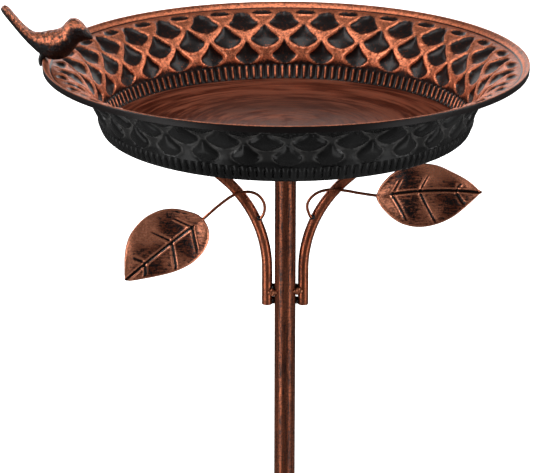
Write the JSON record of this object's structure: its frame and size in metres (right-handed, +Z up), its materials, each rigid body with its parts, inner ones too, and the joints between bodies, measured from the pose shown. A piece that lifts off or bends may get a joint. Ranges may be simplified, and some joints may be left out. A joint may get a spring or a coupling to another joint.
{
  "type": "bird bath",
  "caption": "Round stamped metal dish on a slim pole with curved arms, leaves and a perched bird, held upright by a pronged ground fork",
  "frame": {"origin": "on the pole's axis at the soil line, where the ground spike starts", "axes": "+Z up along the pole, +X from the bird's side of the rim toward the opposite side, +Y away from the viewer"},
  "size_m": [0.3845, 0.356, 0.9234],
  "materials": {
    "dish_copper": "antique copper brushed over gloss black",
    "cast_copper": "cast, speckled copper over gloss black",
    "rod_copper": "antique copper streaks over black",
    "leaf_copper": "antique copper brushed over black",
    "black_steel": "gloss black paint",
    "weld": "painted weld bead",
    "bare_steel": "zinc-plated thread"
  },
  "bodies": {
    "stand": {"pole_cap": "black_steel", "upper_pole": "rod_copper", "arm_left": "rod_copper", "arm_right": "rod_copper", "arm_welds": "weld", "stem_left": "rod_copper", "stem_right": "rod_copper", "stem_welds": "weld", "leaf_left": "leaf_copper", "leaf_right": "leaf_copper", "upper_insert": "bare_steel", "joint_stud": "bare_steel", "lower_pole": "rod_copper", "lower_top_insert": "bare_steel", "lower_end_insert": "bare_steel", "fork_stud": "bare_steel", "fork_boss": "black_steel", "fork_spike": "black_steel", "fork_prongs": "black_steel", "fork_welds": "weld"},
    "dish": {"bowl": "dish_copper", "bowl_flange": "black_steel", "bowl_collar": "black_steel", "collar_weld": "weld", "bird": "cast_copper", "bird_foot": "black_steel"}
  },
  "joints": [
    {"name": "dish_lift", "type": "slide", "parent": "stand", "child": "dish", "axis": [0, 0, 1], "range_m": [0, 0.06]}
  ]
}
